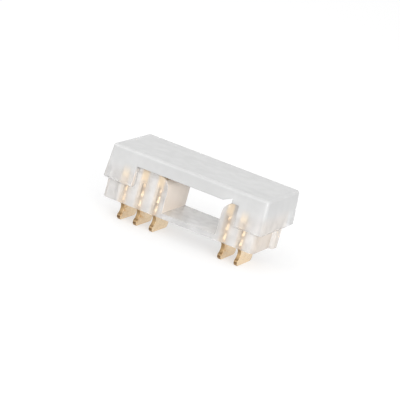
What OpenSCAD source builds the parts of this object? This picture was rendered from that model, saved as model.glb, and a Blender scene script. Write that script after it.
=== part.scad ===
// Five-pole connector for a light strip: a clear lift-off cover over a clear carrier with five contacts.
// Origin: middle of the footprint, on the plane of the claws' soles.
// X runs along the row of contacts, the front with the claw toes faces -Y, and Z is up.

/* [Cover] */
// Length of the cover over its top face
cover_l = 20; // [19.4:0.1:21]
// Depth of the cover over its top face
cover_d = 9.3; // [8.8:0.1:10]
// Height of the top face above the carrier's underside
cover_h = 6.6; // [6.4:0.1:7.2]
// Height of the cover's lower rim above the carrier's underside
rim_h = 2.45; // [2.2:0.05:2.8]
// How far each side spreads outwards from the top face down to the rim
cover_draft = 0.22; // [0.1:0.02:0.3]
// Rounding of the cover's outer edges
edge_r = 0.4; // [0.2:0.05:0.5]
// Chamfer round the outside of the rim
rim_chamfer = 0.12; // [0.05:0.01:0.18]
// Thickness of the top wall
top_t = 1; // [0.8:0.05:1.2]
// Thickness of the end walls at the rim
end_t = 0.65; // [0.55:0.05:0.75]
// Thickness of the back wall
back_t = 0.7; // [0.5:0.05:0.9]
// Thickness of the two front corner tabs
tab_t = 0.55; // [0.45:0.05:0.7]
// Depth of the front lip, front to back
lip_t = 1.2; // [0.8:0.1:1.6]
// How far the front lip hangs below the top face
lip_h = 1.68; // [1.5:0.02:1.74]
// Length of the sloped notch in the lip beside the two-contact block
notch_l = 1.1; // [0.8:0.1:1.4]
// How far the notch rises into the lip
notch_h = 0.5; // [0.3:0.02:0.56]
// Diameter of the wire holes through the back wall
wire_hole_d = 1.1; // [0.9:0.05:1.2]

/* [Carrier] */
// Clearance between the cover's walls and the carrier
fit_gap = 0.05; // [0.03:0.01:0.08]
// How far the carrier's ends stand back from the widest part of the cover
end_set_in = 0.22; // [0.16:0.01:0.3]
// Depth of the carrier, front to back
carrier_d = 6.4; // [6:0.1:6.8]
// Rounding of the carrier's upright corners
corner_r = 0.6; // [0.3:0.1:0.8]
// Depth of the foot at the back of the two-contact end, whose front is cut back to mark the polarity
foot_d = 1.9; // [1.7:0.1:2.4]
// Height of the two contact blocks above the underside
block_h = 4.76; // [4.6:0.02:4.8]
// Rounding of the blocks' upper corners beside the window
block_r = 1.45; // [1:0.05:1.7]
// Thickness of the plate under the window
plate_t = 0.62; // [0.5:0.02:0.8]
// Radius of the wire grooves along the tops of the blocks
groove_r = 0.55; // [0.45:0.05:0.6]

/* [Contacts] */
// How far the row of contacts stands off the middle towards the two-contact end
row_shift = 0.1; // [0:0.02:0.16]
// Distance between neighbouring contacts in a block
pitch = 2.1; // [2:0.05:2.2]
// Distance from a block's outer end to the middle of its outermost contact
outer_wall = 1.92; // [1.8:0.02:2.1]
// Distance from the window's side to the middle of the nearest contact
window_wall = 1; // [0.9:0.02:1.1]
// Thickness of the contact sheet
sheet_t = 0.45; // [0.35:0.05:0.5]
// Clearance round a contact in its slot
slot_gap = 0.03; // [0.02:0.01:0.05]
// Thickness of the carrier's wall in front of the slots
slot_front_t = 0.42; // [0.35:0.01:0.5]
// Thickness of the carrier's wall behind the slots
slot_back_t = 0.35; // [0.3:0.01:0.5]
// Height of the piercing tips above the carrier's underside
blade_h = 4.42; // [4.36:0.02:4.5]
// How deep the piercing tips are cut
tip_h = 0.32; // [0.2:0.02:0.4]
// Distance between neighbouring barbs on the blade's front edge
barb_pitch = 1.15; // [1.05:0.05:1.3]
// How far the barbs stand out of the blade's front edge
barb_d = 0.26; // [0.15:0.01:0.3]
// How far the claws reach below the carrier's underside
claw_h = 2.1; // [1.9:0.05:2.4]
// Length of a claw from the blade's front edge back to its heel
claw_l = 4.2; // [4:0.1:4.5]
// How far a claw's toe reaches ahead of the blade's front edge
toe_l = 0.1; // [0.05:0.05:0.5]
// Height of the blunt face at the tip of the toe
toe_face_h = 0.46; // [0.3:0.02:0.5]
// Rounding of the claw's heel
heel_r = 0.45; // [0.3:0.05:0.6]
// Depth of the ledge that stops a contact against the carrier's underside
ledge_d = 0.16; // [0.1:0.01:0.2]

/* [Hidden] */
$fn = 48;

clear_plastic = [0.88, 0.89, 0.9, 0.6];
clear_plastic_warm = [0.88, 0.87, 0.86, 0.6];
gold_plate = [0.84, 0.66, 0.38];

// Distance by which a cutting shape runs past the face that it cuts
past = 1;
// Number of sides round the cover's rounded edges and wire holes
edge_sides = 32;
// Height of the thin slices that the cover's outer shape is drawn over
slice_h = 0.01;
// Number of contacts in the left and right blocks
left_count = 3;
right_count = 2;
// Number of piercing tips along a blade's top edge
tip_count = 4;
// Shares of the claw's height that lie above its toe and in its throat's radius
toe_share = 0.64;
throat_share = 0.34;
// Share of the throat's radius that its middle lies above the toe's top
throat_lift = 0.8;
// Shares of the claw's length ahead of the sole and of the throat's back
sole_share = 0.07;
throat_back_share = 0.08;
// Shares of the barb pitch in a barb's lower and upper slopes
under_share = 0.3;
over_share = 0.55;

// Heights above the carrier's underside
lip_low_z = cover_h - lip_h;
cavity_top_z = cover_h - top_t;

// Lengths along X
cavity_half_l = cover_l / 2 + cover_draft - end_t;
carrier_l = cover_l + 2 * (cover_draft - end_set_in);
block_half_l = cavity_half_l - fit_gap;
contact_x = concat(
    [for (i = [0 : left_count - 1]) row_shift + outer_wall - block_half_l + i * pitch],
    [for (i = [right_count - 1 : -1 : 0]) row_shift + block_half_l - outer_wall - i * pitch]
);
window_left = contact_x[left_count - 1] + window_wall;
window_right = contact_x[left_count] - window_wall;
window_l = window_right - window_left;
tab_left_edge = (contact_x[0] + contact_x[1]) / 2;
tab_right_edge = (contact_x[left_count] + contact_x[left_count + 1]) / 2;

// Places along Y
cover_front = -cover_d / 2;
cavity_back = cover_d / 2 - back_t;
carrier_front = cover_front + tab_t + fit_gap;
carrier_back = carrier_front + carrier_d;
slot_front = carrier_front + slot_front_t;
slot_back = carrier_back - slot_back_t;
blade_front = slot_front + slot_gap;
blade_back = slot_back - slot_gap;
blade_root = blade_front + barb_d;
heel_y = blade_front + claw_l;
toe_y = blade_front - toe_l;
ledge_y = blade_front - ledge_d;

// Claw: the toe's blunt face, the sole's front end and the round throat above the toe
toe_top_z = -claw_h * toe_share;
toe_low_z = toe_top_z - toe_face_h;
sole_front = blade_front + claw_l * sole_share;
throat_r = claw_h * throat_share;
throat_y = blade_front + claw_l * throat_back_share - throat_r;
throat_z = toe_top_z + throat_r * throat_lift;
neck_h = sheet_t / 2;

// Barbs: as many as fit on the blade between the underside and the piercing tips
under_h = barb_pitch * under_share;
barb_h = under_h + barb_pitch * over_share;
tip_root_z = blade_h - tip_h;
barb_count = 1 + floor((tip_root_z - barb_h) / barb_pitch);
tip_pitch = (blade_back - blade_root) / tip_count;

// Corners of one barb, from its point to the foot of its short lower slope
function barb_corners(z) = [[blade_front, z + under_h], [blade_root, z]];

// Corners of one piercing tip, from its back to its point
function tip_corners(y) = [[y, tip_root_z], [y - tip_pitch / 2, blade_h]];

// Raises a piece modelled from the carrier's underside onto the soles of the claws
module on_claws() {
    translate([0, 0, claw_h]) children();
}

// Box between two opposite corners
module box_between(low, high) {
    translate(low) cube(high - low);
}

// One slice of the cover's outer outline, spread outwards by a given distance at a given height
module cover_slice(spread, z) {
    for (x = [-1, 1], y = [-1, 1]) {
        translate([x * (cover_l / 2 + spread - edge_r), y * (cover_d / 2 + spread - edge_r), z])
            cylinder(r = edge_r, h = slice_h, $fn = edge_sides);
    }
}

// Outer shape of the cover: rounded edges, drafted sides and a chamfered rim
module cover_outside() {
    hull() {
        for (x = [-1, 1], y = [-1, 1]) {
            translate([x * (cover_l / 2 - edge_r), y * (cover_d / 2 - edge_r), cover_h - edge_r])
                sphere(r = edge_r, $fn = edge_sides);
        }
        cover_slice(cover_draft, rim_h + rim_chamfer);
        cover_slice(cover_draft - rim_chamfer, rim_h);
    }
}

// Space under the cover: the wire chamber behind the lip, and the gap below the lip behind the tabs
module cover_cavity() {
    box_between(
        [-cavity_half_l, cover_front + lip_t, rim_h - past],
        [cavity_half_l, cavity_back, cavity_top_z]
    );
    box_between(
        [-cavity_half_l, cover_front + tab_t, rim_h - past],
        [cavity_half_l, cavity_back, lip_low_z]
    );
}

// Sloped notch in the lip's lower edge, rising from the window's side over the two-contact block
module lip_notch() {
    translate([window_right, cover_front + lip_t + past, 0])
        rotate([90, 0, 0])
            linear_extrude(lip_t + 2 * past + cover_draft)
                polygon([
                    [0, lip_low_z],
                    [notch_l, lip_low_z + notch_h],
                    [notch_l, lip_low_z - past],
                    [0, lip_low_z - past]
                ]);
}

// Wire holes through the back wall, in line with the grooves in the tops of the blocks
module wire_holes() {
    for (x = contact_x) {
        translate([x, cavity_back - past, block_h])
            rotate([-90, 0, 0]) cylinder(d = wire_hole_d, h = back_t + 2 * past, $fn = edge_sides);
    }
}

module cover() {
    color(clear_plastic) on_claws() difference() {
        cover_outside();
        cover_cavity();
        // Open front between the two corner tabs
        box_between(
            [tab_left_edge, cover_front - past, rim_h - past],
            [tab_right_edge, cover_front + lip_t, lip_low_z]
        );
        // Open back behind the window
        box_between(
            [window_left - fit_gap, cavity_back - past, rim_h - past],
            [window_right + fit_gap, cover_d / 2 + past, lip_low_z]
        );
        lip_notch();
        wire_holes();
    }
}

// Front view of one contact block, from its outer end at x = 0 to its side at the window
module block_profile(l) {
    square([l - block_r, block_h]);
    square([l, block_h - block_r]);
    translate([l - block_r, block_h - block_r]) circle(r = block_r);
}

// Front view of the carrier: end shoulders, two blocks and the plate under the window
module carrier_profile() {
    difference() {
        translate([-carrier_l / 2, 0]) square([carrier_l, rim_h]);
        translate([window_left, plate_t]) square([window_l, rim_h]);
    }
    translate([-block_half_l, 0]) block_profile(block_half_l + window_left);
    translate([block_half_l, 0]) mirror([1, 0]) block_profile(block_half_l - window_right);
}

// Rectangle with rounded corners between two opposite corners
module rounded_plate(low, high) {
    size = high - low;
    translate([low.x, low.y + corner_r]) square([size.x, size.y - 2 * corner_r]);
    translate([low.x + corner_r, low.y]) square([size.x - 2 * corner_r, size.y]);
    for (x = [low.x + corner_r, high.x - corner_r], y = [low.y + corner_r, high.y - corner_r]) {
        translate([x, y]) circle(r = corner_r);
    }
}

// Top view of the carrier: the two-contact end stands out under the cover only at its foot
module carrier_outline() {
    rounded_plate([-carrier_l / 2, carrier_front], [block_half_l, carrier_back]);
    rounded_plate([block_half_l - foot_d, carrier_back - foot_d], [carrier_l / 2, carrier_back]);
}

// Slot for one contact and the wire groove above it
module contact_slot() {
    slot_half = sheet_t / 2 + slot_gap;
    box_between([-slot_half, slot_front, -past], [slot_half, slot_back, block_h + past]);
    translate([0, slot_front, block_h]) rotate([-90, 0, 0]) cylinder(r = groove_r, h = carrier_d);
}

module contact_carrier() {
    color(clear_plastic_warm) on_claws() difference() {
        intersection() {
            translate([0, carrier_back, 0]) rotate([90, 0, 0]) linear_extrude(carrier_d) carrier_profile();
            linear_extrude(block_h) carrier_outline();
        }
        for (x = contact_x) {
            translate([x, 0, 0]) contact_slot();
        }
    }
}

// Side view of the blade: its plain web, the piercing tips on its top edge and the barbs on its front edge
// The foremost tip slopes straight down to the uppermost barb
module blade_profile() {
    top_barb = barb_count - 1;
    polygon(concat(
        [[blade_back, 0]],
        [for (i = [0 : tip_count - 1]) each tip_corners(blade_back - i * tip_pitch)],
        barb_corners(top_barb * barb_pitch),
        [for (i = [top_barb - 1 : -1 : 0])
            each concat([[blade_root, i * barb_pitch + barb_h]], barb_corners(i * barb_pitch))]
    ));
}

// Side view of the claw: a ledge under the carrier, a round throat, a blunt toe, a flat sole and a round heel
module claw_profile() {
    difference() {
        union() {
            polygon([
                [ledge_y, 0],
                [heel_y, 0],
                [heel_y, heel_r - claw_h],
                [heel_y - heel_r, -claw_h],
                [sole_front, -claw_h],
                [toe_y, toe_low_z],
                [toe_y, toe_top_z],
                [ledge_y, toe_top_z]
            ]);
            translate([heel_y - heel_r, heel_r - claw_h]) circle(r = heel_r);
        }
        translate([throat_y, throat_z]) circle(r = throat_r);
    }
}

// Gives a side view the thickness of the contact sheet, centred on the plane x = 0
module stamped() {
    translate([-sheet_t / 2, 0, 0]) rotate([90, 0, 90]) linear_extrude(sheet_t) children();
}

// One stamped contact: the blade runs on into the claw through a short neck
module contact() {
    color(gold_plate) on_claws() union() {
        stamped() blade_profile();
        stamped() claw_profile();
        stamped() translate([blade_root, -neck_h / 2]) square([heel_y - blade_root, neck_h]);
    }
}

cover();
contact_carrier();
translate([contact_x[0], 0, 0]) contact();  // contact_1
translate([contact_x[1], 0, 0]) contact();  // contact_2
translate([contact_x[2], 0, 0]) contact();  // contact_3
translate([contact_x[3], 0, 0]) contact();  // contact_4
translate([contact_x[4], 0, 0]) contact();  // contact_5
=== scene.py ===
"""Looks of the light-strip connector: clear moulded cover and carrier, and gold-plated contacts."""

import math
from typing import NamedTuple

import bmesh
import bpy
from mathutils import Matrix, Vector


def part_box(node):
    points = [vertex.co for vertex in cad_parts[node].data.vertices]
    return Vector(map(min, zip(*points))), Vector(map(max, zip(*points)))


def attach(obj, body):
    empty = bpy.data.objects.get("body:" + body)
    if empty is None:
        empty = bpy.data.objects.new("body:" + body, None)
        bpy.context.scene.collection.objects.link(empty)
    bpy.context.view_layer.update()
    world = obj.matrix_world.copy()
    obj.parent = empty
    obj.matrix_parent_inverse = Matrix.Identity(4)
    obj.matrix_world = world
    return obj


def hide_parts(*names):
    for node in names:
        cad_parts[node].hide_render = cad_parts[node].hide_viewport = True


MM = 0.001

# Noise levels at which a mottled colour is at its deepest and at its palest
NOISE_LOW = 0.3
NOISE_HIGH = 0.7

# Sizes of the patches in the plastic, the depth and strength of the waves that two of them give its
# skin, and how much clearness the clouds leave and add
FLOW_SIZE = 3.5 * MM
FLOW_WAVES = (0.05 * MM, 0.35)
GRAIN_SIZE = 0.12 * MM
GRAIN_WAVES = (0.004 * MM, 0.4)
HAZE_SIZE = 0.9 * MM
CLOUD_SIZE = 1.3 * MM
CLOUD_CLEAR = (0.9, 1.1)
PLASTIC_IOR = 1.5

# Heights of the blades' feet and tips, and the clearness of the plastic in front of them
FOOT_FROM = 2.0 * MM
FOOT_TO = 3.8 * MM
FOOT_CLEAR = 0.6
TIP_FROM = 5.15 * MM
TIP_TO = 5.85 * MM
TIP_CLEAR = 0.3

# Distances from a blade's middle: thin plastic over the blade, thick beside it, and the gold's
# painted glow further off
THIN_HALF = 0.2 * MM
THICK_FROM = 0.55 * MM
GLOW_FROM = 0.75 * MM
GLOW_TO = 4.2 * MM

# Share of the far painted glow in faces that don't look sideways, and half the length over which it
# ends at the carrier's back
FRONT_GLOW = 0.16
GLOW_FADE = 0.4 * MM

# Heights between which the cover's walls fade into its thick top
CROWN_FROM = 5.4 * MM
CROWN_TO = 7.1 * MM

# Distances from the window's middle between which the painted shade on the front over and under it
# ends
LINTEL_CORE = 2.4 * MM
LINTEL_EDGE = 4.6 * MM

# Distances from the connector's middle: from the end faces by the window to the outer ones, and to
# the end walls
END_FROM = 5.0 * MM
END_TO = 9.0 * MM
WALL_FROM = 8.9 * MM
WALL_TO = 9.6 * MM

# Parts of a normal at which a face looks fully forward or down, and at which it no longer does
FRONT_FULL = -0.9
FRONT_NONE = -0.5
UNDER_FULL = -0.8
UNDER_NONE = -0.2

# Places along Y between which a slot wall comes away from its blade, and how uneven that border is
PRESSED_FROM = -2.0 * MM
PRESSED_TO = 1.2 * MM
PATCH_DEPTH = 2.0 * MM

# Deep and pale colours of the gold plate: on the sheet's faces; on its cut edges, paler partly as a
# painted highlight; painted shade on the edges that look down; a dark colour that is painted shade
# across one barb and darkens the claws' cut edges; and painted shade on the toe ends
PLATED = ((0.85, 0.66, 0.43), (0.93, 0.745, 0.515))
CUT = ((0.93, 0.75, 0.51), (1.0, 0.87, 0.66))
SHADED = ((0.74, 0.57, 0.36), (0.87, 0.69, 0.46))
SHADE_AND_DARK_CLAW = ((0.38, 0.26, 0.135), (0.50, 0.355, 0.20))
TOE_SHADE = ((0.17, 0.105, 0.055), (0.26, 0.165, 0.085))

# Parts of a normal at which a cut edge begins to take the painted shade of an edge that looks down
# and fully does, and at which a toe end looks ahead and takes its painted shade
SHADED_NONE = -0.2
SHADED_FULL = -0.5
TOE_AHEAD = -0.7

# Heights on a contact: the toe, the barb with a band of painted shade, with the band's reach and
# share, and the matt tips
TOE_TOP = 0.5 * MM
SHADE_BAND_Z = 4.75 * MM
SHADE_BAND_CORE = 0.1 * MM
SHADE_BAND_EDGE = 0.26 * MM
SHADE_BAND_SHARE = 0.8
MATT_FROM = 5.1 * MM
MATT_TO = 5.7 * MM

# Sizes of the gold's patches and rolling lines, the lines' squeeze, depth and strength, and the
# roughness of the plate and of its matt parts
GOLD_PATCH_SIZE = 0.8 * MM
STREAK_SIZE = 0.5 * MM
STREAK_SQUEEZE = (1, 1, 12)
STREAK_WAVES = (0.006 * MM, 0.5)
GOLD_ROUGH = (0.18, 0.4)
MATT_ROUGH = 0.62

# Broken edges, and the angles that tell a flat, a sharp and a smooth edge apart
PLASTIC_EDGE = 0.05 * MM
GOLD_EDGE = 0.03 * MM
EDGE_SEGMENTS = 2
ROUND_PROFILE = 0.5
WELD = 0.0005 * MM
FLAT_ANGLE = math.radians(0.5)
SHARP_ANGLE = math.radians(28)
SMOOTH_ANGLE = math.radians(40)

# Depths from the cover's box within which a face belongs to its outside
COVER_END_SKIN = 0.52 * MM
COVER_FRONT_SKIN = 0.67 * MM
COVER_BACK_SKIN = 0.77 * MM
COVER_TOP_SKIN = 0.7 * MM

# Depths from the carrier's box within which a face belongs to its outside, to the front walls of
# the slots and to the wire grooves, and the reach of a slot and of its side wall from the middle of
# its blade
CARRIER_FRONT_SKIN = 0.35 * MM
CARRIER_BACK_SKIN = 0.05 * MM
CARRIER_UNDER_SKIN = 0.05 * MM
CARRIER_TOP_SKIN = 0.03 * MM
SLOT_FRONT_DEPTH = 0.55 * MM
GROOVE_DEPTH = 0.66 * MM
SLOT_REACH = 0.57 * MM
SLOT_SIDE = (0.2 * MM, 0.3 * MM)

# Strength of the white surroundings as light on the object, and as the background that is seen
SKY_LIGHT = 0.85
BACKGROUND_LIGHT = 1.0
WHITE = (1, 1, 1, 1)

# Floor's size in metres, depth under the soles, grey, and glow that makes it white where it is seen
FLOOR_SIZE = 6
FLOOR_DROP = 0.02 * MM
FLOOR_GREY = (0.45, 0.45, 0.45, 1)
FLOOR_GLOW = 0.57

# Name, place and size in millimetres, and power in watts
LAMPS = (
    ("key", (-160, -200, 320), 300, 0.11),
    ("front", (-80, -380, 130), 300, 0.46),
    ("side", (285, -275, 90), 280, 1.07),
)

# Camera of the photograph, with angles in degrees
CAMERA_TARGET = Vector((0, -0.65, 5.1)) * MM
CAMERA_DISTANCE = 240 * MM
CAMERA_AZIMUTH = 21.23
CAMERA_ELEVATION = 15.27
CAMERA_ROLL = 15.45
CAMERA_SENSOR = 36
CAMERA_LENS = 189.5
CAMERA_SHIFT = (0.0069, -0.0086)
CAMERA_CLIP = (0.001, 20)

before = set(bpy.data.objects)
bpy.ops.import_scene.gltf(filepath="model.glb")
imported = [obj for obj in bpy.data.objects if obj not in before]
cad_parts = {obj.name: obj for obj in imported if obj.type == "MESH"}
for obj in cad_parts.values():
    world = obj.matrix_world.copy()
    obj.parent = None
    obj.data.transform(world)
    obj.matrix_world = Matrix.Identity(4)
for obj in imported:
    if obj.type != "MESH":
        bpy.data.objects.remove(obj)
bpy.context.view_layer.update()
scene = bpy.context.scene

CONTACTS = range(1, 6)
CONTACT_X = [sum(corner[0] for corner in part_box(f"contact_{n}")) / 2 for n in CONTACTS]
WINDOW_X = (CONTACT_X[2] + CONTACT_X[3]) / 2
COVER_LOW, COVER_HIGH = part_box("cover")
CARRIER_LOW, CARRIER_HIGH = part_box("contact_carrier")
CLAW_TOP = CARRIER_LOW.z


class Nodes:
    """Short way to add and link the nodes of one tree."""

    def __init__(self, tree):
        self.tree = tree
        tree.nodes.clear()

    def add(self, kind, inputs=None, **settings):
        node = self.tree.nodes.new(kind)
        for key, value in settings.items():
            setattr(node, key, value)
        for key, value in (inputs or {}).items():
            if isinstance(value, bpy.types.NodeSocket):
                self.tree.links.new(value, node.inputs[key])
            else:
                node.inputs[key].default_value = value
        return node

    def math(self, operation, *values, **settings):
        """Result of a math node over sockets and numbers."""
        inputs = dict(enumerate(values))
        return self.add("ShaderNodeMath", inputs, operation=operation, **settings).outputs[0]

    def parts(self, vector):
        """X, Y and Z of a vector."""
        return self.add("ShaderNodeSeparateXYZ", {"Vector": vector}).outputs

    def mottled(self, noise, deep, pale):
        """Colour that goes from deep to pale with a noise."""
        node = self.add("ShaderNodeValToRGB", {"Fac": noise})
        first, last = node.color_ramp.elements
        first.position, last.position = NOISE_LOW, NOISE_HIGH
        first.color, last.color = (*deep, 1), (*pale, 1)
        return node.outputs["Color"]

    def blend(self, factor, first, second):
        """Colour that goes from the first to the second as the factor goes from 0 to 1."""
        node = self.add("ShaderNodeMix", {"Factor": factor}, data_type="RGBA")
        self.tree.links.new(first, node.inputs["A"])
        self.tree.links.new(second, node.inputs["B"])
        return node.outputs["Result"]

    def spread(self, factor, low, high):
        """Maps a factor from 0..1 to low..high."""
        node = self.add("ShaderNodeMapRange", {"Value": factor, "To Min": low, "To Max": high})
        return node.outputs["Result"]

    def between(self, value, start, end, low, high):
        """Goes smoothly from low to high as a value goes from start to end."""
        node = self.add(
            "ShaderNodeMapRange",
            {"Value": value, "From Min": start, "From Max": end, "To Min": low, "To Max": high},
            interpolation_type="SMOOTHSTEP",
        )
        return node.outputs["Result"]

    def nearest(self, value, places):
        """Distance from a value to the nearest of several places."""
        least, *others = (
            self.math("ABSOLUTE", self.math("SUBTRACT", value, place)) for place in places
        )
        for gap in others:
            least = self.math("MINIMUM", least, gap)
        return least

    def noise(self, where, size, detail=3.0):
        """Noise whose patches are about the given size in metres."""
        inputs = {"Vector": where, "Scale": 1 / size, "Detail": detail}
        return self.add("ShaderNodeTexNoise", inputs).outputs["Fac"]

    def bump(self, height, distance, strength, normal=None):
        inputs = {"Height": height, "Distance": distance, "Strength": strength}
        if normal is not None:
            inputs["Normal"] = normal
        return self.add("ShaderNodeBump", inputs).outputs["Normal"]


class Surface:
    """Place and direction of the point that a material is worked out for."""

    def __init__(self, nodes):
        self.where = nodes.add("ShaderNodeTexCoord").outputs["Object"]
        self.along = nodes.parts(self.where)
        self.facing = nodes.parts(nodes.add("ShaderNodeNewGeometry").outputs["True Normal"])
        self.sideways = nodes.math("ABSOLUTE", self.facing["X"])


class Tint(NamedTuple):
    """Pale and deep colours of a plastic, and its milk, the share of light that it scatters."""

    pale: tuple
    deep: tuple
    milk: float


class Blades(NamedTuple):
    """What the blades do to the look of the plastic around them.

    milk is that over the blades, where little plastic lies in front. close, tip and glow are
    painted
    light: the gold's glow painted into the plastic's colour close beside them, over their tips and
    further off. The rest is the share of the clearness that is left in the end faces by the window
    and at the outer ends, in the faces that look down, and in front of the end walls."""

    milk: float
    close: tuple
    tip: tuple
    glow: tuple
    inner_clear: float
    outer_clear: float
    under_clear: float
    wall_clear: float


def new_material(name):
    material = bpy.data.materials.new(name)
    material.use_nodes = True
    return material, Nodes(material.node_tree)


def near_blades(nodes, surface, flow, colour, plain, blades):
    """Colour and clearness of a plastic around the blades, the colour with the gold's glow painted
    in.
    """
    height = surface.along["Z"]
    beside = nodes.nearest(surface.along["X"], CONTACT_X)
    over = nodes.between(height, FOOT_FROM, FOOT_TO, FOOT_CLEAR, 1.0 - blades.milk)
    over = nodes.between(height, TIP_FROM, TIP_TO, over, TIP_CLEAR)
    clear = nodes.between(beside, THIN_HALF, THICK_FROM, over, 1.0 - plain.milk)
    fade_from, fade_to = CARRIER_HIGH.y - GLOW_FADE, CARRIER_HIGH.y + GLOW_FADE
    far = nodes.spread(surface.sideways, FRONT_GLOW, 1.0)
    far = nodes.between(surface.along["Y"], fade_from, fade_to, far, 0.0)
    far = nodes.between(beside, GLOW_FROM, GLOW_TO, far, 0.0)
    near = nodes.between(beside, THIN_HALF, GLOW_FROM, 1.0, 0.0)
    at_tip = nodes.between(height, TIP_FROM, TIP_TO, 0.0, 1.0)
    at_tip = nodes.between(beside, THIN_HALF, THICK_FROM, at_tip, 0.0)
    # Painted light: the gold's glow painted into the plastic's colour beside the blades, over their
    # tips and further off
    for share, pale in ((far, blades.glow), (near, blades.close), (at_tip, blades.tip)):
        deep = [gold_part * plain_part for gold_part, plain_part in zip(pale, plain.deep)]
        colour = nodes.blend(share, colour, nodes.mottled(flow, deep, pale))
    return colour, clear


def faded(nodes, flow, share, colour, clear, tint):
    """Colour and clearness, faded into a tint by a share."""
    colour = nodes.blend(share, colour, nodes.mottled(flow, tint.deep, tint.pale))
    return colour, nodes.spread(share, clear, 1.0 - tint.milk)


def clouded(nodes, surface, clear, blades):
    """Clearness with soft clouds in it, and less of it where a face shows a depth of plastic."""
    patches = nodes.noise(surface.where, CLOUD_SIZE, detail=1.0)
    cloud = nodes.between(patches, NOISE_LOW, NOISE_HIGH, *CLOUD_CLEAR)
    away = nodes.math("ABSOLUTE", surface.along["X"])
    ends = nodes.between(away, END_FROM, END_TO, blades.inner_clear, blades.outer_clear)
    ends = nodes.spread(surface.sideways, 1.0, ends)
    walls = nodes.between(away, WALL_FROM, WALL_TO, 1.0, blades.wall_clear)
    walls = nodes.between(surface.facing["Y"], FRONT_FULL, FRONT_NONE, walls, 1.0)
    under = nodes.between(surface.facing["Z"], UNDER_FULL, UNDER_NONE, blades.under_clear, 1.0)
    for share in (ends, walls, under):
        cloud = nodes.math("MULTIPLY", cloud, share)
    return nodes.math("MULTIPLY", clear, cloud, use_clamp=True)


def clear_plastic(name, plain, rough, crown=None, window_shade=None, wetted=None, blades=None):
    """Clear moulded plastic: slight haze, flow marks and a faintly wavy skin.

    plain is the tint of the plastic itself, crown that of the thick top, which the walls fade into,
    and lintel, the tint of the front over or under the window, is painted shade. rough is the
    lowest and highest roughness. wetted is the share of a slot wall that lies against the blade
    with no air between, at its front and from the middle on."""
    material, nodes = new_material(name)
    surface = Surface(nodes)
    flow = nodes.noise(surface.where, FLOW_SIZE)
    haze = nodes.noise(surface.where, HAZE_SIZE, detail=4.0)
    grain = nodes.noise(surface.where, GRAIN_SIZE, detail=2.0)
    colour = nodes.mottled(flow, plain.deep, plain.pale)
    clear = 1.0 - plain.milk
    if blades:
        colour, clear = near_blades(nodes, surface, flow, colour, plain, blades)
    rise = 1.0
    if crown:
        rise = nodes.between(surface.along["Z"], CROWN_FROM, CROWN_TO, 0.0, 1.0)
        colour, clear = faded(nodes, flow, rise, colour, clear, crown)
    # Painted shade: the front faces over and under the window take a darker tint
    if window_shade:
        aside = nodes.nearest(surface.along["X"], [WINDOW_X])
        span = nodes.between(surface.facing["Y"], FRONT_FULL, FRONT_NONE, rise, 0.0)
        span = nodes.between(aside, LINTEL_CORE, LINTEL_EDGE, span, 0.0)
        colour, clear = faded(nodes, flow, span, colour, clear, window_shade)
    if blades:
        clear = clouded(nodes, surface, clear, blades)
    shader = nodes.add(
        "ShaderNodeBsdfPrincipled",
        {
            "Base Color": colour,
            "Roughness": nodes.spread(haze, *rough),
            "IOR": PLASTIC_IOR,
            "Transmission Weight": clear,
            "Normal": nodes.bump(grain, *GRAIN_WAVES, nodes.bump(flow, *FLOW_WAVES)),
        },
    )
    if wetted:
        patchy = nodes.math("MULTIPLY_ADD", haze, PATCH_DEPTH, surface.along["Y"])
        dry = nodes.between(patchy, PRESSED_FROM, PRESSED_TO, 1.0 - wetted[0], 1.0 - wetted[1])
        nodes.tree.links.new(dry, shader.inputs["Alpha"])
    nodes.add("ShaderNodeOutputMaterial", {"Surface": shader.outputs["BSDF"]})
    return material


def gold_plate(name):
    """Gold-plated sheet: pale faces with fine rolling lines, cut edges made paler partly as a
    painted highlight and with painted shade where they look down, painted shade across one barb,
    matt tips, darker cut edges on the claws, and toe ends darkened as painted shade."""
    material, nodes = new_material(name)
    surface = Surface(nodes)
    height, facing, face = surface.along["Z"], surface.facing, surface.sideways
    claw = nodes.math("LESS_THAN", height, CLAW_TOP)
    # Painted shade on the lower part of the toe ends that look ahead
    below = nodes.math("LESS_THAN", height, TOE_TOP)
    ahead = nodes.math("LESS_THAN", facing["Y"], TOE_AHEAD)
    toe_end = nodes.math("MULTIPLY", below, ahead)
    # Painted shade on cut edges that look down
    under = nodes.add(
        "ShaderNodeMapRange",
        {"Value": facing["Z"], "From Min": SHADED_NONE, "From Max": SHADED_FULL},
    ).outputs["Result"]
    # Painted shade: a dark band across one barb
    from_shade_band = nodes.nearest(height, [SHADE_BAND_Z])
    shade_band = nodes.between(from_shade_band, SHADE_BAND_CORE, SHADE_BAND_EDGE, SHADE_BAND_SHARE, 0.0)
    patches = nodes.noise(surface.where, GOLD_PATCH_SIZE)
    # Cut edges paler than the faces, partly as a painted highlight; then the painted shades, the
    # darker claw edges and the plated faces
    colour = nodes.mottled(patches, *CUT)
    for share, look in (
        (under, SHADED), (shade_band, SHADE_AND_DARK_CLAW), (claw, SHADE_AND_DARK_CLAW), (toe_end, TOE_SHADE), (face, PLATED)
    ):
        colour = nodes.blend(share, colour, nodes.mottled(patches, *look))
    squeezed = nodes.add("ShaderNodeMapping", {"Vector": surface.where, "Scale": STREAK_SQUEEZE})
    streaks = nodes.noise(squeezed.outputs["Vector"], STREAK_SIZE, detail=4.0)
    edge = nodes.spread(face, claw, 0.0)
    tip = nodes.between(height, MATT_FROM, MATT_TO, 0.0, 1.0)
    matt = nodes.math("MAXIMUM", edge, tip)
    shader = nodes.add(
        "ShaderNodeBsdfPrincipled",
        {
            "Base Color": colour,
            "Metallic": 1.0,
            "Roughness": nodes.spread(matt, nodes.spread(streaks, *GOLD_ROUGH), MATT_ROUGH),
            "Normal": nodes.bump(streaks, *STREAK_WAVES),
        },
    )
    nodes.add("ShaderNodeOutputMaterial", {"Surface": shader.outputs["BSDF"]})
    return material


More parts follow.
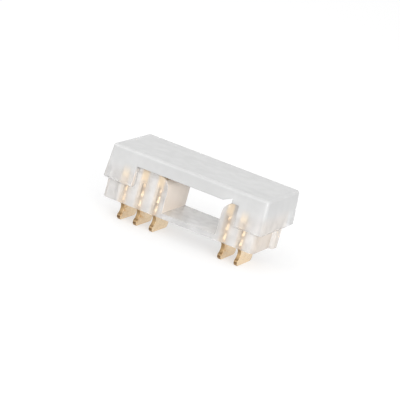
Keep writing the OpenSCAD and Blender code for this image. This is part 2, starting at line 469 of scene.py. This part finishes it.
def broken_edges(node, name, body, materials, radius, pick=None):
    """Copy of a CAD node whose sharp edges are broken by a small radius.

    pick() gives the number of a face's material from the face's middle."""
    mesh = bpy.data.meshes.new(name)
    bm = bmesh.new()
    bm.from_mesh(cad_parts[node].data)
    bmesh.ops.remove_doubles(bm, verts=bm.verts, dist=WELD)
    bmesh.ops.dissolve_limit(bm, angle_limit=FLAT_ANGLE, verts=bm.verts, edges=bm.edges)
    shared = [edge for edge in bm.edges if len(edge.link_faces) == 2]
    bmesh.ops.bevel(
        bm,
        geom=[edge for edge in shared if edge.calc_face_angle() > SHARP_ANGLE],
        offset=radius,
        offset_type="OFFSET",
        segments=EDGE_SEGMENTS,
        profile=ROUND_PROFILE,
        affect="EDGES",
        clamp_overlap=False,
    )
    bmesh.ops.triangulate(bm, faces=bm.faces)
    if pick:
        for face in bm.faces:
            face.material_index = pick(face.calc_center_median())
    bm.to_mesh(mesh)
    bm.free()
    mesh.shade_smooth()
    mesh.set_sharp_from_angle(angle=SMOOTH_ANGLE)
    for material in materials:
        mesh.materials.append(material)
    piece = bpy.data.objects.new(name, mesh)
    scene.collection.objects.link(piece)
    weighted = piece.modifiers.new("weighted", "WEIGHTED_NORMAL")
    weighted.keep_sharp = True
    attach(piece, body)
    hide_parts(node)


def cover_face(middle):
    """1 on the walls of the chamber under the cover, 0 on its outside."""
    return int(
        abs(middle.x) < COVER_HIGH.x - COVER_END_SKIN
        and COVER_LOW.y + COVER_FRONT_SKIN < middle.y < COVER_HIGH.y - COVER_BACK_SKIN
        and middle.z < COVER_HIGH.z - COVER_TOP_SKIN
    )


def carrier_face(middle):
    """1 on the thin wall in front of a blade, 2 on the slot wall that the blade presses on, 3 on
    the other walls of the slots and wire grooves, else 0."""
    aside = min((middle.x - x for x in CONTACT_X), key=abs)
    front, back = CARRIER_LOW.y + CARRIER_FRONT_SKIN, CARRIER_HIGH.y - CARRIER_BACK_SKIN
    low, high = CARRIER_LOW.z + CARRIER_UNDER_SKIN, CARRIER_HIGH.z - CARRIER_TOP_SKIN
    if abs(aside) > SLOT_REACH or not front < middle.y < back or not low < middle.z < high:
        return 0
    if middle.y < CARRIER_LOW.y + SLOT_FRONT_DEPTH:
        return 1
    pressed = SLOT_SIDE[0] < aside < SLOT_SIDE[1] and middle.z < CARRIER_HIGH.z - GROOVE_DEPTH
    return 2 if pressed else 3


def background_ray(nodes):
    """1 for the rays that show the background: directly, in a reflection or through the plastic."""
    path = nodes.add("ShaderNodeLightPath").outputs
    seen = nodes.math("MAXIMUM", path["Is Camera Ray"], path["Is Glossy Ray"])
    return nodes.math("MAXIMUM", seen, path["Is Transmission Ray"])


def make_world():
    world = bpy.data.worlds.new("studio")
    scene.world = world
    world.use_nodes = True
    nodes = Nodes(world.node_tree)
    strength = nodes.spread(background_ray(nodes), SKY_LIGHT, BACKGROUND_LIGHT)
    back = nodes.add("ShaderNodeBackground", {"Color": WHITE, "Strength": strength})
    nodes.add("ShaderNodeOutputWorld", {"Surface": back.outputs["Background"]})


def make_floor():
    material, nodes = new_material("floor_white")
    base = nodes.add("ShaderNodeBsdfDiffuse", {"Color": FLOOR_GREY})
    strength = nodes.spread(background_ray(nodes), 0.0, FLOOR_GLOW)
    glow = nodes.add("ShaderNodeEmission", {"Color": WHITE, "Strength": strength})
    both = nodes.add("ShaderNodeAddShader", {0: base.outputs["BSDF"], 1: glow.outputs["Emission"]})
    nodes.add("ShaderNodeOutputMaterial", {"Surface": both.outputs["Shader"]})
    bpy.ops.mesh.primitive_plane_add(size=FLOOR_SIZE, location=(0, 0, -FLOOR_DROP))
    floor = bpy.context.object
    floor.name = "floor"
    floor.data.materials.append(material)


def make_lamp(name, place, size, power):
    """Soft square lamp that faces the connector."""
    light = bpy.data.lights.new(name, "AREA")
    light.shape = "SQUARE"
    light.size = size * MM
    light.energy = power
    lamp = bpy.data.objects.new(name, light)
    scene.collection.objects.link(lamp)
    lamp.location = Vector(place) * MM
    lamp.rotation_euler = (-lamp.location).to_track_quat("-Z", "Y").to_euler()


def make_camera():
    """Camera at the photograph's viewing angle, with the photograph's tilt."""
    azimuth = math.radians(CAMERA_AZIMUTH)
    elevation = math.radians(CAMERA_ELEVATION)
    roll = math.radians(CAMERA_ROLL)
    toward = Vector((
        math.cos(elevation) * math.sin(azimuth),
        -math.cos(elevation) * math.cos(azimuth),
        math.sin(elevation),
    ))
    right = Vector((math.cos(azimuth), math.sin(azimuth), 0))
    up = toward.cross(right)
    x_axis = math.cos(roll) * right + math.sin(roll) * up
    y_axis = -math.sin(roll) * right + math.cos(roll) * up
    data = bpy.data.cameras.new("photo_camera")
    data.sensor_width = CAMERA_SENSOR
    data.lens = CAMERA_LENS
    data.shift_x, data.shift_y = CAMERA_SHIFT
    data.clip_start, data.clip_end = CAMERA_CLIP
    camera = bpy.data.objects.new("photo_camera", data)
    scene.collection.objects.link(camera)
    place = Matrix.Translation(CAMERA_TARGET + CAMERA_DISTANCE * toward)
    camera.matrix_world = place @ Matrix((x_axis, y_axis, toward)).transposed().to_4x4()
    scene.camera = camera


cover_skin = clear_plastic(
    "cover_skin",
    Tint(pale=(0.995, 0.997, 1.0), deep=(0.97, 0.973, 0.977), milk=0.38),
    rough=(0.08, 0.16),
    crown=Tint(pale=(0.725, 0.725, 0.723), deep=(0.685, 0.685, 0.683), milk=0.78),
    # painted shade: this tint darkens the front over the window
    window_shade=Tint(pale=(0.62, 0.62, 0.618), deep=(0.585, 0.585, 0.583), milk=0.89),
    blades=Blades(
        milk=0.42,
        # close, tip and glow: the gold's glow painted into the plastic's colour, painted light
        close=(0.99, 0.89, 0.78),
        tip=(0.99, 0.85, 0.67),
        glow=(0.99, 0.88, 0.78),
        inner_clear=0.0,
        outer_clear=0.75,
        under_clear=0.0,
        wall_clear=0.87,
    ),
)
cover_inside = clear_plastic(
    "cover_inside",
    Tint(pale=(0.995, 0.997, 1.0), deep=(0.98, 0.983, 0.987), milk=0.18),
    rough=(0.05, 0.12),
    crown=Tint(pale=(0.98, 0.982, 0.985), deep=(0.95, 0.953, 0.957), milk=0.9),
)
carrier_skin = clear_plastic(
    "carrier_skin",
    Tint(pale=(0.985, 0.984, 0.983), deep=(0.955, 0.954, 0.953), milk=0.5),
    rough=(0.06, 0.14),
    # painted shade: this tint darkens the front under the window
    window_shade=Tint(pale=(0.9, 0.89, 0.888), deep=(0.87, 0.86, 0.858), milk=0.5),
    blades=Blades(
        milk=0.36,
        # close, tip and glow: the gold's glow painted into the plastic's colour, painted light
        close=(1.0, 0.875, 0.745),
        tip=(1.0, 0.82, 0.60),
        glow=(1.0, 0.885, 0.775),
        inner_clear=0.12,
        outer_clear=0.75,
        under_clear=0.05,
        wall_clear=1.0,
    ),
)
carrier_inside = clear_plastic(
    "carrier_inside",
    Tint(pale=(1.0, 0.996, 0.992), deep=(0.99, 0.985, 0.98), milk=0.03),
    rough=(0.04, 0.10),
)
carrier_slot = clear_plastic(
    "carrier_slot",
    Tint(pale=(1.0, 0.985, 0.97), deep=(0.98, 0.965, 0.95), milk=0.5),
    rough=(0.06, 0.14),
)
carrier_pressed = clear_plastic(
    "carrier_pressed",
    Tint(pale=(1.0, 0.996, 0.992), deep=(0.99, 0.985, 0.98), milk=0.04),
    rough=(0.04, 0.10),
    wetted=(0.9, 0.1),
)
gold = gold_plate("gold_plate")

broken_edges(
    "cover",
    "cover_shell",
    "cover",
    (cover_skin, cover_inside),
    PLASTIC_EDGE,
    cover_face,
)
broken_edges(
    "contact_carrier",
    "carrier_block",
    "carrier",
    (carrier_skin, carrier_inside, carrier_pressed, carrier_slot),
    PLASTIC_EDGE,
    carrier_face,
)
for number in CONTACTS:
    broken_edges(
        f"contact_{number}",
        f"claw_contact_{number}",
        "carrier",
        (gold,),
        GOLD_EDGE,
    )

make_world()
make_floor()
for lamp_values in LAMPS:
    make_lamp(*lamp_values)
make_camera()
scene.view_settings.view_transform = "Standard"
